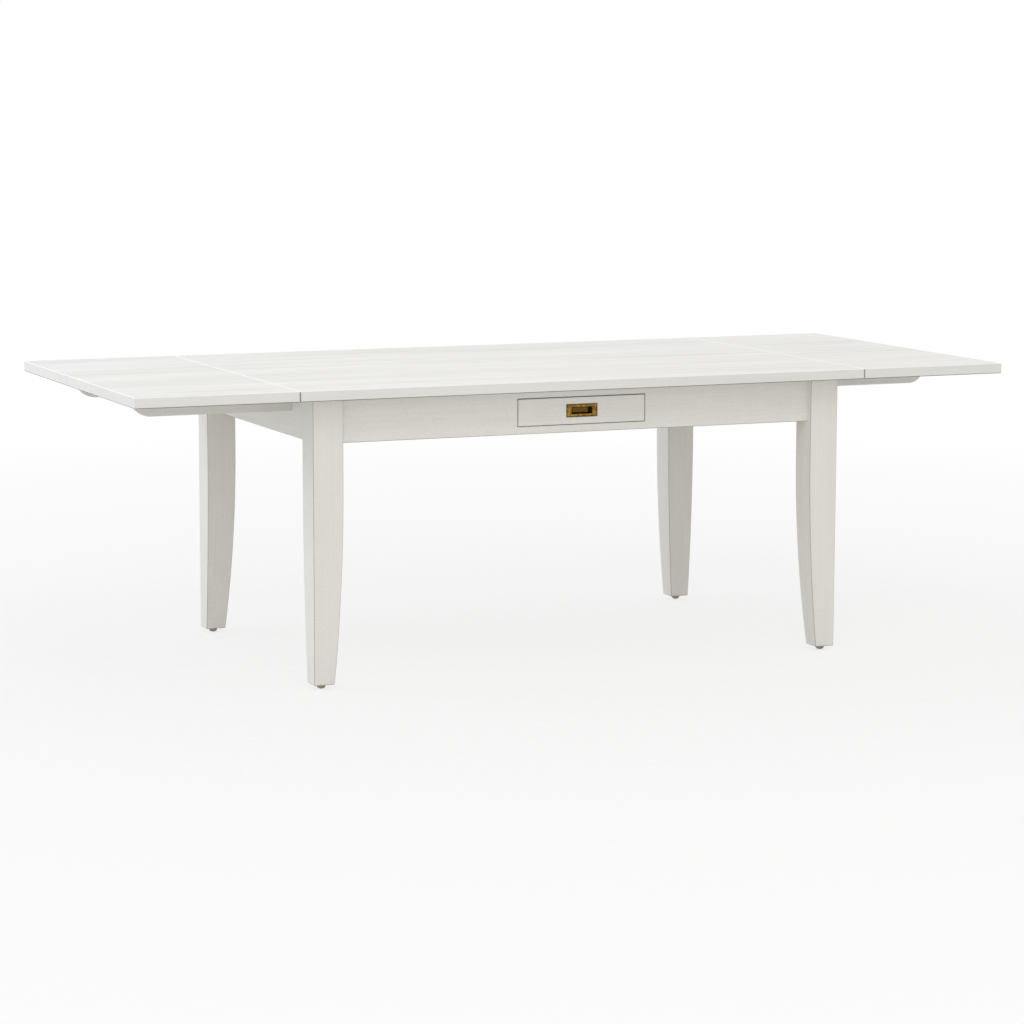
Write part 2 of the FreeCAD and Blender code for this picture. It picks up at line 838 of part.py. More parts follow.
def drawer_inner_front():
    """The box's own front, screwed to the back of the drawer front."""
    board = block(-drawer_box_inner_half, drawer_box_inner_half, drawer_front_back_y, inner_front_back_y,
                  drawer_box_bottom_z, drawer_box_top_z)
    groove = block(-drawer_box_inner_half, drawer_box_inner_half, inner_front_back_y - drawer_groove_depth,
                   inner_front_back_y + overrun, drawer_bottom_z, drawer_bottom_top_z)
    cuts = [groove]
    for seat in drawer_screw_seats():
        cuts.append(shank(drawer_screw_radius, seat, Vector(0, -1, 0), drawer_side_thickness + overrun))
    for post in pull_posts():
        length = inner_front_back_y - post.y
        cuts.append(shank(pull_screw_radius, post, Vector(0, 1, 0), length))
    return board.cut(cuts)


def drawer_side(sign):
    """A side, grooved for the bottom."""
    board = block(sign * drawer_box_inner_half, sign * drawer_box_half, drawer_front_back_y, drawer_back_y,
                  drawer_box_bottom_z, drawer_box_top_z)
    groove_x = sign * (drawer_box_inner_half + drawer_groove_depth)
    groove = block(sign * (drawer_box_inner_half - overrun), groove_x,
                   inner_front_back_y - drawer_groove_depth, drawer_back_y + overrun,
                   drawer_bottom_z, drawer_bottom_top_z)
    return board.cut(groove)


def drawer_back():
    """The back stands on the bottom, which slides in under it."""
    return block(-drawer_box_inner_half, drawer_box_inner_half, drawer_back_y - drawer_side_thickness,
                 drawer_back_y, drawer_bottom_top_z, drawer_box_top_z)


def drawer_bottom():
    half = drawer_box_inner_half + drawer_groove_depth
    front_y = inner_front_back_y - drawer_groove_depth
    return block(-half, half, front_y, drawer_back_y, drawer_bottom_z, drawer_bottom_top_z)


def drawer_screws():
    length = drawer_side_thickness + drawer_screw_in_front
    return [headed_screw(drawer_screw_radius, drawer_screw_head_radius, drawer_screw_head_height,
                         seat, Vector(0, -1, 0), length)
            for seat in drawer_screw_seats()]


# Flush pull

def face_block(width, height, y0, y1):
    """A square-cornered block round the pull's middle."""
    return block(-width / 2, width / 2, y0, y1, pull_z - height / 2, pull_z + height / 2)


def tapered_block(front_width, front_height, back_width, back_height, y0, y1):
    """A block round the pull's middle whose four sides slope from front to back."""
    return Part.makeWedge(-front_width / 2, y0, pull_z - front_height / 2,
                          pull_z - back_height / 2, -back_width / 2,
                          front_width / 2, y1, pull_z + front_height / 2,
                          pull_z + back_height / 2, back_width / 2)


def pull_plate():
    """The bevelled plate, with a step sunk round the lip of the cup."""
    bevel = pull_bevel_width * 2
    field_y = pull_face_y + pull_lip_rise
    bevel_y = field_y + pull_bevel_drop
    plate = joined([
        face_block(pull_width, pull_height, bevel_y, pull_back_y),
        tapered_block(pull_width - bevel, pull_height - bevel, pull_width, pull_height, field_y, bevel_y),
    ])
    lip_width = cup_width + pull_lip_width * 2
    lip_height = cup_height + pull_lip_width * 2
    step = face_block(lip_width + pull_step_width * 2, lip_height + pull_step_width * 2,
                      field_y - overrun, field_y + pull_step_depth)
    return joined([plate.cut(step), face_block(lip_width, lip_height, pull_face_y, pull_back_y)])


def cup(wall, floor, y0):
    """The cup's drafted form, thickened by a wall, starting at a plane across Y."""
    grow = wall * 2
    floor_y = pull_face_y + cup_depth + floor
    return tapered_block(cup_width + grow, cup_height + grow, cup_width - cup_end_slope * 2 + grow,
                         cup_height - cup_side_slope * 2 + grow, y0, floor_y)


def drawer_pull():
    """A plate round a cup with sloping walls, and two posts on the back for the screws."""
    upright = Vector(0, 1, 0)
    hollow = cup(0, 0, pull_face_y)
    corners = [edge for edge in hollow.Edges if edge.BoundBox.YLength > SAME]
    hollow = hollow.makeFillet(cup_corner_radius, corners)
    posts = [shank(pull_post_radius, post, upright, pull_post_length) for post in pull_posts()]
    ends = [post + upright * pull_post_length for post in pull_posts()]
    screw_holes = [shank(pull_screw_radius, end, upright * -1, pull_screw_in_post) for end in ends]
    casting = joined([pull_plate(), cup(cup_wall, cup_wall, pull_face_y)] + posts)
    return casting.cut([hollow] + screw_holes)


def pull_screws():
    """Machine screws through the box's front into the pull's posts."""
    screws = []
    for post in pull_posts():
        seat = Vector(post.x, inner_front_back_y, post.z)
        tip_y = post.y + pull_post_length - pull_screw_in_post
        screws.append(headed_screw(pull_screw_radius, pull_screw_head_radius, pull_screw_head_height,
                                   seat, Vector(0, -1, 0), seat.y - tip_y))
    return screws


# Everything in its place

def build_top():
    write("centre_top", centre_top())
    for side, sign in SIDES:
        write("leaf_" + side, leaf(sign))
        write("leaf_" + side + "_dowels", leaf_dowels(sign))


def build_corners():
    post = leg()
    brace = corner_block()
    bolts = bolt_rods(bolt_radius, block_thickness + bolt_tail, bolt_in_leg)
    groups = {
        "glides": [glide()],
        "hanger_bolts": bolts,
        "bolt_washers": washers(),
        "bolt_nuts": nuts(),
        "corner_block_screws": block_screws(),
    }
    for name, side_sign, face_sign in quarters():
        write("leg_" + name, in_quarter(post, side_sign, face_sign))
        write("corner_block_" + name, in_quarter(brace, side_sign, face_sign))
    for node, pieces in groups.items():
        write(node, [in_quarter(piece, side_sign, face_sign)
                     for name, side_sign, face_sign in quarters() for piece in pieces])


def build_frame():
    write("front_apron", front_apron())
    write("back_apron", side_apron(1))
    for side, sign in SIDES:
        write(side + "_end_apron", end_apron(side, sign))
        write("bearer_" + side, bearer(sign))
    write("top_buttons", [button(place, inward) for place, inward in button_places()])
    write("top_button_screws", [button_screw(place, inward) for place, inward in button_places()])


def build_lopers():
    for side, sign in SIDES:
        for (face, face_sign), y in zip(FACES, loper_places(side)):
            write("loper_" + face + "_" + side, loper(side, sign, y))
            write("stop_peg_" + face + "_" + side, stop_peg(side, sign, y))


def build_drawer():
    write("drawer_front", drawer_front())
    write("drawer_inner_front", drawer_inner_front())
    write("drawer_back", drawer_back())
    write("drawer_bottom", drawer_bottom())
    write("drawer_front_screws", drawer_screws())
    write("drawer_pull", drawer_pull())
    write("pull_screws", pull_screws())
    for side, sign in SIDES:
        write("drawer_side_" + side, drawer_side(sign))
        write("drawer_runner_" + side, runner(sign))
        write("drawer_kicker_" + side, kicker(sign))
    write("drawer_stops", [drawer_stop(sign) for side, sign in SIDES])
    write("runner_screws", [screw for side, sign in SIDES for screw in runner_screws(sign)])


os.makedirs("parts", exist_ok=True)
build_top()
build_corners()
build_frame()
build_lopers()
build_drawer()
print("loper travel", loper_travel)
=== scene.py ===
import math

import bmesh
import bpy
from mathutils import Matrix, Vector


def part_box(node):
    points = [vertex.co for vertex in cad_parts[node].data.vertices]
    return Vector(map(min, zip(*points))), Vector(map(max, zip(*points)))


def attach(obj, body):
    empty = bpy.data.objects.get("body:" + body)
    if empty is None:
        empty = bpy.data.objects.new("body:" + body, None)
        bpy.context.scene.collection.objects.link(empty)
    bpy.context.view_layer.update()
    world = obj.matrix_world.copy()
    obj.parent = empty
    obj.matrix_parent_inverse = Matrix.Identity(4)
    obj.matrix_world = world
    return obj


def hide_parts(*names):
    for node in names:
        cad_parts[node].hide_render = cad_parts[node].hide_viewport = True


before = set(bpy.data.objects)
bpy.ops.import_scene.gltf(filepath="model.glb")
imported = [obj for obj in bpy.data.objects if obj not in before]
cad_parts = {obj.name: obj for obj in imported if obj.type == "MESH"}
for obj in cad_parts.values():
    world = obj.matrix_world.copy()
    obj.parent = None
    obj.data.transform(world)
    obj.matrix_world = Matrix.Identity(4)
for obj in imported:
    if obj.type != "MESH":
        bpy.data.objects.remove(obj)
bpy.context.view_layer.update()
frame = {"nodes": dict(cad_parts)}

bl_info = {
    "name": "Extending Dining Table",
    "version": (1, 0, 0),
    "blender": (4, 5, 0),
    "location": "View3D > Sidebar > Table",
    "description": "Finishes, fasteners and studio for an extending dining table",
    "category": "Object",
}

SIDES = ("left", "right")
FACES = ("front", "back")
QUARTERS = tuple(f"{face}_{side}" for face in FACES for side in SIDES)
MM = 0.001
UP = Vector((0, 0, 1))

# Points nearer to each other than this are made one
WELD = 0.02 * MM

# Points nearer to a cut than this lie on it, and a shorter edge is dropped
HAIR = 0.001 * MM

# Points round a recess or a nut: six for each arm of a cross, and four for each side of a hexagon
ROUND_POINTS = 24

# A new piece is shaded smooth, but for edges sharper than this
SHARP_EDGE = math.radians(32)

# The photograph is square, and so is the camera's frame
PHOTO_PIXELS = 1024
SENSOR_MM = 36

# How local X, the way of the grain, is turned for a board that runs another way
GRAIN_TURN = {
    "x": (0, 0, 0),
    "y": (0, 0, math.radians(90)),
    "z": (0, math.radians(90), 0),
    "rising": (0, 0, math.radians(45)),
    "falling": (0, 0, math.radians(-45)),
}

# How much each pattern counts in the paint of a group of boards
TOP_PATTERNS = {"marks": 0.22, "figure": 0.38, "dimples": 0.15, "cloud": 0.25}
FRAME_PATTERNS = {"marks": 0.25, "dimples": 0.4, "cloud": 0.25}
LOPER_PATTERNS = {"marks": 0.4, "dimples": 0.35, "cloud": 0.25}

# Where the top's boards are glued, in metres across it, and how plainly each joint shows
BOARD_JOINTS = ((0.098, 0.6), (0.31, 0.15), (-0.11, 0.2), (-0.3, 0.15))
SEAM_STRENGTH = 0.9

# One thread of a bolt: shares of its depth, out from the root, and of its pitch, upwards
TOOTH_SHARES = ((0, 0), (0, 0.12), (1, 0.48), (1, 0.64), (0, 1))

# The lamps, in metres: the width of each soft disc and where it stands, all aimed at one spot
LAMPS = {
    "side": (3.0, (-5.3, 2.4, 2.8)),
    "front": (2.4, (-0.8, -3.4, 5.0)),
    "fill": (3.0, (-2.0, -6.5, 2.2)),
}
LAMP_AIM = (0, 0, 0.4)

# The floor's radius in metres, and how far from the table it starts and ends turning into plain white
FLOOR_RADIUS = 60
WHITE_STARTS = 1.4
WHITE_ENDS = 5.0
WHITE = (1, 1, 1, 1)

# Soft specks in the floor to a metre
FLOOR_SPECKS = 30


def linear(code):
    """A hex colour, as written for a screen, turned to linear light."""
    shares = [int(code[at:at + 2], 16) / 255 for at in (0, 2, 4)]
    return tuple(s / 12.92 if s <= 0.04045 else ((s + 0.055) / 1.055) ** 2.4 for s in shares)


def colour(name, description, code):
    """A colour setting, its default given as a hex colour."""
    return bpy.props.FloatVectorProperty(
        name=name, description=description, default=(*linear(code), 1), size=4, subtype="COLOR", min=0, max=1)


def length(name, description, millimetres):
    """A length setting, its default given in millimetres."""
    return bpy.props.FloatProperty(
        name=name, description=description, default=millimetres * MM, min=0, unit="LENGTH")


def share(name, description, default):
    """A setting from 0 to 1."""
    return bpy.props.FloatProperty(
        name=name, description=description, default=default, min=0, max=1, subtype="FACTOR")


def power(name, description, watts):
    """The strength of a lamp."""
    return bpy.props.FloatProperty(
        name=name, description=description, default=watts, min=0, unit="POWER")


# Sizes and colours that a user would change

class PaintSettings(bpy.types.PropertyGroup):
    top: colour("Top", "Brushed satin white of the top and leaves", "F4F3F0")
    top_low: colour("Top brush valleys", "The same paint where it lies thinner", "E4E3DF")
    frame: colour("Frame", "Satin white of the legs, aprons and drawer front", "F4F3EE")
    frame_low: colour("Frame brush valleys", "The same paint where it lies thinner", "EBE9E3")
    loper: colour("Lopers", "White of the lopers, dulled by sliding", "EDEBE6")
    loper_low: colour("Loper rub marks", "Where sliding has rubbed the paint", "E4E0D8")
    joint: colour("Board joint", "The faint line between two glued boards", "D9D8D3")
    # Painted highlight: a lighter colour on rounded edges that look up, and beside the seams of the top
    edge_highlight: colour("Upper edges", "Where the paint is drawn thick over a rounded edge", "FDFDFC")
    # Darker on upright rounded edges, and painted shade on the upright edge beside a seam of the top
    edge_side: colour("Upright edges", "Where the rubbed edge lets the undercoat through", "B4ADA2")
    # Painted shade on the rounded edges of the top that look down
    edge_under_shade: colour("Lower edges of the top", "Where the undercoat shows and dust gathers", "54493E")
    # Painted shade on the upper edge of the drawer front, in the gap above it
    edge_gap_shade: colour("Upper edge of the drawer front", "Where dust lies in the gap above it", "6F685E")
    # Painted shade on the rounded edges of the frame that look down, lighter than on the top
    frame_edge_under_shade: colour("Lower edges of the frame", "The same, but rubbed less", "A39C91")
    brush_width: length("Brush mark width", "Across one mark of the brush", 5)
    brush_length: length("Brush mark length", "Along one mark of the brush", 420)
    brush_depth: length("Brush mark depth", "Height of the marks", 0.03)
    figure_width: length("Figure width", "Across one broad streak of the grain under the paint", 24)
    figure_length: length("Figure length", "Along one broad streak", 900)
    mottle_width: length("Mottle width", "Across one soft dimple left by the drying paint", 3)
    mottle_length: length("Mottle length", "Along one dimple", 4.8)
    cloud_width: length("Cloud width", "Across one faint patch of thicker paint", 160)
    cloud_length: length("Cloud length", "Along one patch", 600)


class WoodSettings(bpy.types.PropertyGroup):
    early: colour("Softwood, pale", "Wood that grew in spring", "DCC59E")
    late: colour("Softwood, dark", "Wood that grew in summer", "C7A474")
    ring_spacing: length("Ring spacing", "From one yearly ring to the next", 3.4)
    veneer: colour("Plywood face", "Birch veneer", "DFC8A2")
    veneer_dark: colour("Plywood figure", "The darker figure in the veneer", "CDB085")
    ply_thickness: length("Ply thickness", "One layer of the plywood", 1.2)
    beech: colour("Beech", "Turned beech", "CFA678")
    beech_pale: colour("Beech, pale", "Its paler growth", "DAB68B")
    beech_fleck: colour("Beech flecks", "The short rays in beech", "A97B4E")


class MetalSettings(bpy.types.PropertyGroup):
    brass: colour("Brass, rubbed", "Where handling keeps the brass bright", "AB8842")
    brass_aged: colour("Brass, aged", "The brown film on the rest", "664B24")
    # Painted shade, nearly black, on the walls of the cup and on the plate's bevelled rim
    brass_wall_shade: colour("Brass, deep", "The dark film on the walls of the cup", "231A0E")
    zinc: colour("Zinc", "Bright zinc plating", "C9CCCF")
    zinc_dull: colour("Zinc, dull", "Zinc plating where it has clouded", "A4A8AB")
    nickel: colour("Nickel", "Dull nickel plating", "9C948D")
    nickel_worn: colour("Nickel, worn", "Where the floor has dulled the nickel", "7B746D")


class FastenerSettings(bpy.types.PropertyGroup):
    bolt_radius: length("Bolt radius", "To the crest of a hanger bolt's threads", 4)
    thread_pitch: length("Bolt pitch", "From one thread of a hanger bolt to the next", 1.25)
    thread_depth: length("Bolt thread depth", "Crest to root", 0.7)
    lag_reach: length("Wood thread reach", "How far a hanger bolt's wood thread goes into the leg", 45)
    lag_pitch: length("Wood thread pitch", "From one wood thread to the next", 3)
    lag_depth: length("Wood thread depth", "Crest to root", 0.98)
    washer_bore: length("Washer bore", "Radius of its hole", 4.3)
    washer_rim: length("Washer rim", "Radius of its rim", 10)
    nut_width: length("Nut width", "Across its flats", 13)
    nut_bore: length("Nut bore", "Radius of its hole", 3.9)
    recess_reach: share("Recess reach", "Cross recess, as a share of the head", 0.62)
    recess_arm: share("Recess arm", "Half of an arm, as a share of the head", 0.13)


class StageSettings(bpy.types.PropertyGroup):
    floor: colour("Floor", "Pale studio floor", "D6D6D4")
    floor_pale: colour("Floor grain", "The paler grain in the floor", "DEDEDC")
    floor_white: share("Floor whiteness", "How far the floor near the table is washed out to white", 0.78)
    focal_pixels: bpy.props.FloatProperty(
        name="Focal length in pixels", description="Solved from the photograph", default=3185, min=1,
        subtype="PIXEL")
    position: bpy.props.FloatVectorProperty(
        name="Camera", description="Where the camera stands", default=(-3.386, -7.878, 1.5606),
        subtype="TRANSLATION", unit="LENGTH")
    yaw: bpy.props.FloatProperty(
        name="Turn", description="Camera turned from looking along +Y", default=-0.4058, subtype="ANGLE")
    pitch: bpy.props.FloatProperty(
        name="Tilt", description="Camera tilted down", default=0.1399, subtype="ANGLE")
    roll: bpy.props.FloatProperty(
        name="Roll", description="Camera rolled on its own axis", default=0.0023, subtype="ANGLE")
    sky: bpy.props.FloatProperty(
        name="Sky", description="Strength of the even light all round", default=0.8, min=0)
    side: power("Side", "The soft lamp off the left end", 76)
    side_colour: colour("Side colour", "A touch cool", "EAF1FF")
    front: power("Front", "The steep soft lamp in front", 39)
    front_colour: colour("Front colour", "A touch warm", "FFFEF7")
    fill: power("Fill", "The low soft lamp by the camera", 13)
    fill_colour: colour("Fill colour", "Warm", "FFE4C8")


# Materials

def add_node(tree, kind, inputs=(), output=0, **settings):
    """Add a node with its settings and its inputs, given in order or by name, and give one output."""
    made = tree.nodes.new("ShaderNode" + kind)
    for name, value in settings.items():
        setattr(made, name, value)
    for key, value in (inputs.items() if isinstance(inputs, dict) else enumerate(inputs)):
        if isinstance(value, bpy.types.NodeSocket):
            tree.links.new(value, made.inputs[key])
        else:
            made.inputs[key].default_value = value
    return made.outputs[output]


def tinted(tree, value, start, end, low, high):
    """One colour turning into another as a value goes from a start to an end."""
    factor = add_node(tree, "MapRange", (value, start, end))
    # The sockets of a Mix node share their names, so its colours go by their numbers
    return add_node(tree, "Mix", {"Factor": factor, 6: low, 7: high}, output=2, data_type="RGBA")


def weighted(tree, *parts):
    """The sum of values, each taken by its share."""
    total = 0.0
    for value, part in parts:
        total = add_node(tree, "Math", (value, part, total), operation="MULTIPLY_ADD")
    return total


def along(tree, kind, axis):
    """One axis of the object's own coordinates or normal."""
    own = add_node(tree, "TexCoord", output=kind)
    return add_node(tree, "SeparateXYZ", (own,), axis)


def facing(tree, axis):
    """How squarely a surface looks along an axis, either way, from 0 to 1."""
    return add_node(tree, "Math", (along(tree, "Normal", axis),), operation="ABSOLUTE")


def place_in(tree, sizes, grain="x", centre=(0, 0, 0)):
    """Object coordinates counted in a pattern's own sizes, with X along the grain."""
    here = add_node(tree, "TexCoord", output="Object")
    inputs = {"Vector": here, "Location": centre, "Rotation": GRAIN_TURN[grain], "Scale": sizes}
    return add_node(tree, "Mapping", inputs, vector_type="TEXTURE")


def streaks(tree, grain, length_of_one, width_of_one, detail=3.0):
    """Noise drawn out along the grain, from 0 to 1."""
    spot = place_in(tree, (length_of_one, width_of_one, width_of_one), grain)
    return add_node(tree, "TexNoise", {"Vector": spot, "Scale": 1.0, "Detail": detail})


def lines(tree, axis, places, core, rim):
    """Soft lines at places along an axis, each with its strength: full up to the core, gone at the rim."""
    here = along(tree, "Object", axis)
    drawn = 0.0
    for place, strength in places:
        offset = add_node(tree, "Math", (here, place), operation="SUBTRACT")
        away = add_node(tree, "Math", (offset,), operation="ABSOLUTE")
        line = add_node(tree, "MapRange", (away, core, rim, strength, 0.0))
        drawn = add_node(tree, "Math", (line, drawn), operation="MAXIMUM")
    return drawn


def relief(tree, height, depth, edge_radius):
    """A fine relief on a surface whose edges look softly rounded."""
    eased = add_node(tree, "Bevel", {"Radius": edge_radius}, samples=4)
    return add_node(tree, "Bump", {"Height": height, "Distance": depth, "Strength": 1.0, "Normal": eased})


def surface(name):
    """A new material, its tree and its one shader."""
    material = bpy.data.materials.new(name)
    material.use_nodes = True
    tree = material.node_tree
    return material, tree, tree.nodes["Principled BSDF"]


def connect(tree, shader, **sockets):
    """Link what varies over a surface to its shader."""
    names = {"colour": "Base Color", "roughness": "Roughness", "normal": "Normal"}
    for key, socket in sockets.items():
        tree.links.new(socket, shader.inputs[names[key]])


def board_lines(tree, paint, level, settings, joints, seams):
    """Faint joints between glued boards, and at a seam of the top a painted highlight on the rounded face
    edges and painted shade on the upright edge.
    """
    paint = tinted(tree, lines(tree, "Y", joints, 0.2 * MM, 1.4 * MM), 0, 1, paint, settings.joint)
    # A painted highlight on the face beside a seam, and painted shade on the upright edge beside it
    on_face = add_node(tree, "MapRange", (level, 0.2, 0.5))
    on_edge = add_node(tree, "MapRange", (level, 0.5, 0.2))
    wide = lines(tree, "X", seams, 2.8 * MM, 4.6 * MM)
    narrow = lines(tree, "X", seams, 1.6 * MM, 2.6 * MM)
    bright = add_node(tree, "Math", (wide, on_face), operation="MULTIPLY")
    rubbed = add_node(tree, "Math", (narrow, on_edge), operation="MULTIPLY")
    paint = tinted(tree, bright, 0, 1, paint, settings.edge_highlight)
    return tinted(tree, rubbed, 0, 1, paint, settings.edge_side)


def shade_and_highlight_edges(tree, paint, high, side, low):
    """Paint on rounded edges: a painted highlight where they look up, darker where upright, and painted shade
    where they look down.
    """
    squarest = 0.0
    for axis in "XYZ":
        squarest = add_node(tree, "Math", (facing(tree, axis), squarest), operation="MAXIMUM")
    up = along(tree, "Normal", "Z")
    # A painted highlight on edges that look up, and painted shade on those that look down
    edge = tinted(tree, up, 0.05, 0.15, side, high)
    edge = tinted(tree, up, -0.1, -0.3, edge, low)
    return tinted(tree, squarest, 0.995, 0.95, paint, edge)


def brushed_paint(name, high, low, grain, settings, patterns, edges=(), joints=(), seams=()):
    """Satin paint brushed on wood: soft sheen, a fine mottle, and long shallow marks along the board."""
    material, tree, shader = surface(name)
    # Marks and dimples are wider than real ones, so that they show from a few metres
    sizes = {
        "marks": (settings.brush_length, settings.brush_width),
        "figure": (settings.figure_length, settings.figure_width, 2.0),
        "dimples": (settings.mottle_length, settings.mottle_width, 2.0),
        "cloud": (settings.cloud_length, settings.cloud_width, 1.0),
    }
    drawn = {kind: streaks(tree, grain, *sizes[kind]) for kind in patterns}
    mixed = weighted(tree, *((drawn[kind], part) for kind, part in patterns.items()))
    shade = add_node(tree, "MapRange", (mixed, 0.38, 0.62))
    if joints:
        # The narrow edges of a board are wiped smoother than its face
        level = facing(tree, "Z")
        contrast = add_node(tree, "MapRange", (level, 0.5, 0.9, 0.35, 1.0))
        shade = add_node(tree, "Mix", {"Factor": contrast, "A": 0.5, "B": shade})
    paint = tinted(tree, shade, 0, 1, low, high)
    # Joint lines, with painted highlight and painted shade at the seams of the top
    if joints:
        paint = board_lines(tree, paint, level, settings, joints, seams)
    # Painted highlight and painted shade on the rounded edges, by which way they look
    if edges:
        paint = shade_and_highlight_edges(tree, paint, *edges)
    connect(tree, shader, colour=paint,
            roughness=add_node(tree, "MapRange", (drawn["marks"], 0.3, 0.7, 0.58, 0.46)),
            normal=relief(tree, mixed, settings.brush_depth, edge_radius=1.5 * MM))
    shader.inputs["IOR"].default_value = 1.5
    return material


def softwood(name, grain, settings):
    """Sealed pine: pale and darker yearly rings cut lengthways, with a dry soft sheen."""
    material, tree, shader = surface(name)
    sizes = (400 * MM, 20 * MM, 20 * MM)
    # The heart of the tree lies well outside the board
    spot = place_in(tree, sizes, grain, centre=(0.07, 0.11, 0.93))
    # A wave has a ring every tau / 20 of its unit
    scale = math.tau / 20 / (settings.ring_spacing / sizes[1])
    wave = {"Vector": spot, "Scale": scale, "Distortion": 5.0, "Detail": 2.0, "Detail Scale": 0.35}
    rings = add_node(tree, "TexWave", wave, "Fac", wave_type="RINGS", rings_direction="X")
    fibres = streaks(tree, grain, 45 * MM, 0.9 * MM, 2.0)
    figure = streaks(tree, grain, 500 * MM, 30 * MM, 2.0)
    grown = add_node(tree, "Math", (rings, figure), operation="MULTIPLY")
    mixed = weighted(tree, (grown, 0.9), (fibres, 0.4))
    connect(tree, shader, colour=tinted(tree, mixed, 0.2, 0.75, settings.early, settings.late),
            roughness=add_node(tree, "MapRange", (mixed, 0.2, 0.8, 0.62, 0.5)),
            normal=relief(tree, fibres, 0.05 * MM, edge_radius=0.8 * MM))
    shader.inputs["IOR"].default_value = 1.52
    return material


def birch_plywood(settings):
    """Rotary-cut birch veneer: broad soft figure on the face, thin layers at the edge."""
    material, tree, shader = surface("birch_plywood_sealed")
    figure = streaks(tree, "y", 350 * MM, 28 * MM)
    pores = streaks(tree, "y", 14 * MM, 0.8 * MM, 1.0)
    mixed = weighted(tree, (figure, 0.75), (pores, 0.25))
    face = tinted(tree, mixed, 0.35, 0.65, settings.veneer, settings.veneer_dark)
    layer = add_node(tree, "Math", (along(tree, "Object", "Z"), settings.ply_thickness), operation="PINGPONG")
    edge = tinted(tree, layer, 0, settings.ply_thickness, settings.veneer_dark, settings.veneer)
    connect(tree, shader, colour=tinted(tree, facing(tree, "Z"), 0.4, 0.6, edge, face),
            roughness=add_node(tree, "MapRange", (mixed, 0.3, 0.7, 0.55, 0.45)),
            normal=relief(tree, mixed, 0.08 * MM, edge_radius=0.5 * MM))
    shader.inputs["IOR"].default_value = 1.52
    return material


def turned_beech(name, grain, settings):
    """Unfinished beech from the lathe: even pinkish wood with short dark flecks."""
    material, tree, shader = surface(name)
    body = streaks(tree, grain, 60 * MM, 5 * MM, 2.0)
    # Real flecks are a few tenths of a millimetre wide, and are drawn coarser so that they show
    flecks = add_node(tree, "MapRange", (streaks(tree, grain, 5 * MM, 0.7 * MM, 1.0), 0.58, 0.7))
    faint = add_node(tree, "Math", (flecks, 0.6), operation="MULTIPLY")
    plain = tinted(tree, body, 0, 1, settings.beech, settings.beech_pale)
    connect(tree, shader, colour=tinted(tree, faint, 0, 1, plain, settings.beech_fleck),
            roughness=add_node(tree, "MapRange", (body, 0.3, 0.7, 0.6, 0.5)),
            normal=relief(tree, flecks, -0.05 * MM, edge_radius=0.3 * MM))
    shader.inputs["IOR"].default_value = 1.52
    return material


def antiqued_brass(settings):
    """Cast brass with a brown film: rubbed gold on the raised parts, with painted shade, nearly black, on the
    cup's walls and the plate's bevelled rim.
    """
    material, tree, shader = surface("antiqued_brass")
    plate_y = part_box("drawer_pull")[0].y
    here = add_node(tree, "TexCoord", output="Object")
    blotches = add_node(tree, "TexNoise", {"Vector": here, "Scale": 1 / (9 * MM), "Detail": 4.0})
    grit = add_node(tree, "TexNoise", {"Vector": here, "Scale": 1 / (1.6 * MM), "Detail": 2.0})
    scratches = streaks(tree, "x", 26 * MM, 1.1 * MM, 2.0)
    # Darker from the plate down into the cup: the film that gathers in the hollow, and painted shade as well
    inward = along(tree, "Object", "Y")
    sunk = add_node(tree, "MapRange", (inward, plate_y + 2 * MM, plate_y + 9 * MM, 0.0, 0.2))
    worn = weighted(tree, (blotches, 0.65), (scratches, 0.35), (sunk, 1.0))
    film = tinted(tree, worn, 0.4, 0.62, settings.brass, settings.brass_aged)
    # Painted shade on the cup's walls and on the plate's bevelled rim
    outward = facing(tree, "Y")
    steep = add_node(tree, "MapRange", (outward, 0.9, 0.5))
    rounded = add_node(tree, "MapRange", (outward, 0.99, 0.97, 0.0, 0.55))
    wall_and_rim_shade = add_node(tree, "Math", (steep, rounded), operation="MAXIMUM")
    connect(tree, shader, colour=tinted(tree, wall_and_rim_shade, 0, 1, film, settings.brass_wall_shade),
            roughness=add_node(tree, "MapRange", (blotches, 0.3, 0.7, 0.3, 0.48)),
            normal=relief(tree, grit, 0.12 * MM, edge_radius=0.5 * MM))
    shader.inputs["Metallic"].default_value = 1.0
    return material


def plated_metal(name, bright, dull, patch, smooth, rough):
    """Plating over steel: a thin bright skin that has clouded in patches."""
    material, tree, shader = surface(name)
    here = add_node(tree, "TexCoord", output="Object")
    clouds = add_node(tree, "TexNoise", {"Vector": here, "Scale": 1 / patch, "Detail": 3.0})
    grit = add_node(tree, "TexNoise", {"Vector": here, "Scale": 1 / (0.9 * MM), "Detail": 1.0})
    connect(tree, shader, colour=tinted(tree, clouds, 0.35, 0.65, bright, dull),
            roughness=add_node(tree, "MapRange", (clouds, 0.3, 0.7, smooth, rough)),
            normal=relief(tree, grit, 0.02 * MM, edge_radius=0.2 * MM))
    shader.inputs["Metallic"].default_value = 1.0
    return material


def finish_nodes(material, *nodes):
    """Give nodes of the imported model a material."""
    for node in nodes:
        slots = frame["nodes"][node].data.materials
        slots.clear()
        slots.append(material)


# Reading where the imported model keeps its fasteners

def solids(node):
    """The separate solids of a node, each as the list of its points."""
    shape = bmesh.new()
    shape.from_mesh(frame["nodes"][node].data)
    bmesh.ops.remove_doubles(shape, verts=shape.verts, dist=WELD)
    left = set(shape.verts)
    found = []
    while left:
        waiting = [left.pop()]
        points = []
        while waiting:
            here = waiting.pop()
            points.append(here.co.copy())
            beside = {edge.other_vert(here) for edge in here.link_edges} & left
            left -= beside
            waiting.extend(beside)
        found.append(points)
    shape.free()
    return found


